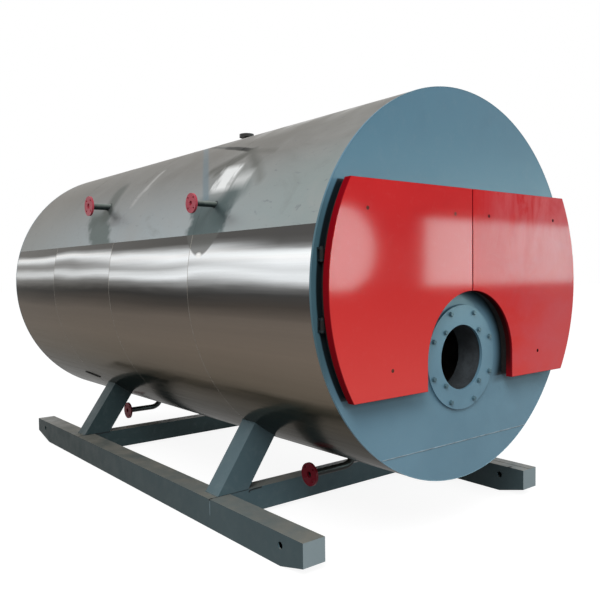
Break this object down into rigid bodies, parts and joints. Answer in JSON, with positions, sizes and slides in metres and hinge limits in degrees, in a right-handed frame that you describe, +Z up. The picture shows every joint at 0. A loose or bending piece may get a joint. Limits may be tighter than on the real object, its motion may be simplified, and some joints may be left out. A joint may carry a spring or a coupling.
{
  "type": "horizontal fire-tube steam boiler",
  "caption": "Horizontal cylindrical fire-tube boiler on a welded skid, with two hinged smokebox doors, a burner mounting ring, side nozzles, bottom drains and a rear flue outlet.",
  "frame": {"origin": "on the ground, under the middle of the whole boiler's box", "axes": "+Z up; -Y is the burner end with the two doors, +Y the flue end; +X is to the right seen from the burner end"},
  "size_m": [2.3046, 4.698, 2.635],
  "materials": {
    "frame_paint": "semi-gloss blue-grey enamel",
    "body_paint": "semi-gloss blue-grey enamel",
    "door_red": "glossy red powder coat",
    "polished_steel": "polished stainless sheet",
    "film_steel": "stainless sheet under matte film",
    "flange_red": "red oxide enamel",
    "pipe_steel": "dark paint",
    "drain_red": "dark red enamel",
    "pipe_black": "black paint",
    "boiler_steel": "bare mill steel",
    "refractory": "cast refractory, rough",
    "lining_board": "insulation board, matte",
    "hinge_steel": "painted steel"
  },
  "bodies": {
    "boiler": {"left_skid": "frame_paint", "right_skid": "frame_paint", "front_cross_beam": "frame_paint", "rear_cross_beam": "frame_paint", "front_legs": "frame_paint", "rear_legs": "frame_paint", "front_top_plate": "body_paint", "front_side_plates": "body_paint", "front_corner_plates": "body_paint", "front_lower_plate": "body_paint", "burner_panel": "body_paint", "burner_ring": "body_paint", "rear_plate": "body_paint", "flue_collar": "body_paint", "rear_cover": "body_paint", "burner_throat": "refractory", "furnace_tube": "boiler_steel", "front_tube_sheet": "boiler_steel", "rear_tube_sheet": "boiler_steel", "drum_shell": "boiler_steel", "left_nozzle_pipes": "pipe_steel", "right_nozzle_pipes": "pipe_steel", "left_nozzle_flanges": "flange_red", "right_nozzle_flanges": "flange_red", "top_nozzle": "pipe_black", "drain_pipes": "pipe_black", "drain_flanges": "drain_red", "hinge_brackets": "hinge_steel", "front_upper_jacket": "film_steel", "front_left_jacket": "polished_steel", "front_right_jacket": "polished_steel", "second_upper_jacket": "film_steel", "second_left_jacket": "polished_steel", "second_right_jacket": "polished_steel", "third_upper_jacket": "film_steel", "third_left_jacket": "polished_steel", "third_right_jacket": "polished_steel", "rear_upper_jacket": "film_steel", "rear_left_jacket": "polished_steel", "rear_right_jacket": "polished_steel"},
    "left_door": {"left_door_cover": "door_red", "left_door_lining": "lining_board"},
    "right_door": {"right_door_cover": "door_red", "right_door_lining": "lining_board"}
  },
  "joints": [
    {"name": "left_door_hinge", "type": "hinge", "parent": "boiler", "child": "left_door", "pos_m": [-1.05, -2.284, 1.447], "axis": [0, 0, -1], "range_deg": [0, 95]},
    {"name": "right_door_hinge", "type": "hinge", "parent": "boiler", "child": "right_door", "pos_m": [1.05, -2.284, 1.447], "axis": [0, 0, 1], "range_deg": [0, 95]}
  ]
}
